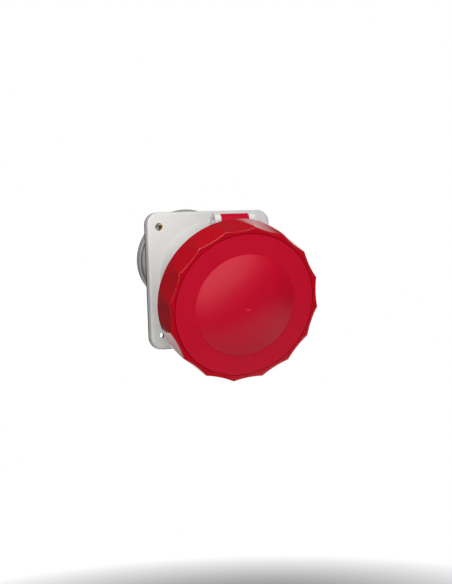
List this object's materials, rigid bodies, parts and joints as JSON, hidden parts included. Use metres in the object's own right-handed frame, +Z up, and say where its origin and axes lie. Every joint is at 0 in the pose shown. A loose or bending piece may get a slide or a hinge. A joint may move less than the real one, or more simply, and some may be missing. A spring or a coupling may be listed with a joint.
{
  "type": "industrial panel socket",
  "caption": "Angled panel socket outlet with a square flange, a tilted round collar, a hinged domed lid, a scalloped bayonet locking ring and sleeve contacts.",
  "frame": {"origin": "centre of the four fixing holes, on the gasket's back face, which lies against the panel", "axes": "-Y out of the panel towards the user, +Z up, +X to the user's right; the socket's own axis looks down from -Y by 17 degrees"},
  "size_m": [0.13, 0.1697, 0.1437],
  "materials": {
    "housing_grey": "satin moulded light grey",
    "cover_grey": "satin moulded grey",
    "lid_red": "satin moulded red",
    "ring_red": "glossy moulded red",
    "rubber_black": "black rubber",
    "carrier_black": "matt black moulding",
    "contact_brass": "bare brass",
    "spring_steel": "bright spring steel",
    "screw_steel": "zinc-plated steel"
  },
  "bodies": {
    "socket": {"flange_housing": "housing_grey", "panel_gasket": "rubber_black", "fixing_bush": "contact_brass", "contact_carrier": "carrier_black", "carrier_seal": "rubber_black", "contact_l1": "contact_brass", "contact_l2": "contact_brass", "contact_l3": "contact_brass", "contact_neutral": "contact_brass", "contact_earth": "contact_brass", "contact_pilot": "contact_brass", "contact_springs": "spring_steel", "contact_retainer": "carrier_black", "retainer_screws": "screw_steel", "lock_ring": "housing_grey", "terminal_screws": "screw_steel", "rear_cover": "cover_grey", "cover_screws": "screw_steel", "hinge_pin": "spring_steel"},
    "lid": {"lid": "lid_red", "lid_seal": "rubber_black", "ring_clip": "spring_steel"},
    "ring": {"bayonet_ring": "ring_red"}
  },
  "joints": [
    {"name": "lid_swing", "type": "hinge", "parent": "socket", "child": "lid", "pos_m": [0, -0.06056, 0.04781], "axis": [-1, 0, 0], "range_deg": [0, 110]},
    {"name": "ring_turn", "type": "hinge", "parent": "lid", "child": "ring", "pos_m": [0, -0.06568, -0.01754], "axis": [0, 0.9563, 0.2924], "range_deg": [0, 30]}
  ]
}
